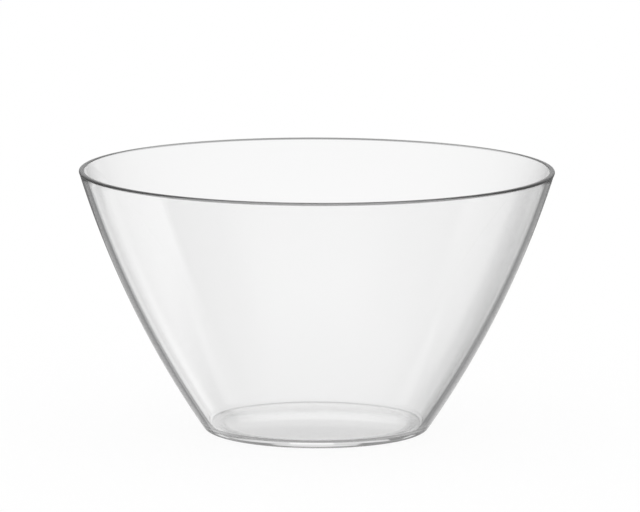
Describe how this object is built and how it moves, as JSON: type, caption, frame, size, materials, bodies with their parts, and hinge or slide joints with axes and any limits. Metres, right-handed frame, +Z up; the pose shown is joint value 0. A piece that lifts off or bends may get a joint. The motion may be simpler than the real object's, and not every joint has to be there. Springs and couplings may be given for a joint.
{
  "type": "salad bowl",
  "caption": "Deep clear glass salad bowl with a flared, gently bowed wall, a flat rim with rounded edges and a slightly raised floor over a flat foot ring.",
  "frame": {"origin": "centre of the foot, on the plane that the bowl stands on", "axes": "+Z up along the axis of the bowl, towards the open rim; the bowl is round, so X and Y are any two square directions"},
  "size_m": [0.26, 0.26, 0.144],
  "materials": {
    "clear_glass": "clear pressed glass, fire-polished to a smooth gloss"
  },
  "bodies": {
    "root": {"bowl": "clear_glass"}
  },
  "joints": []
}
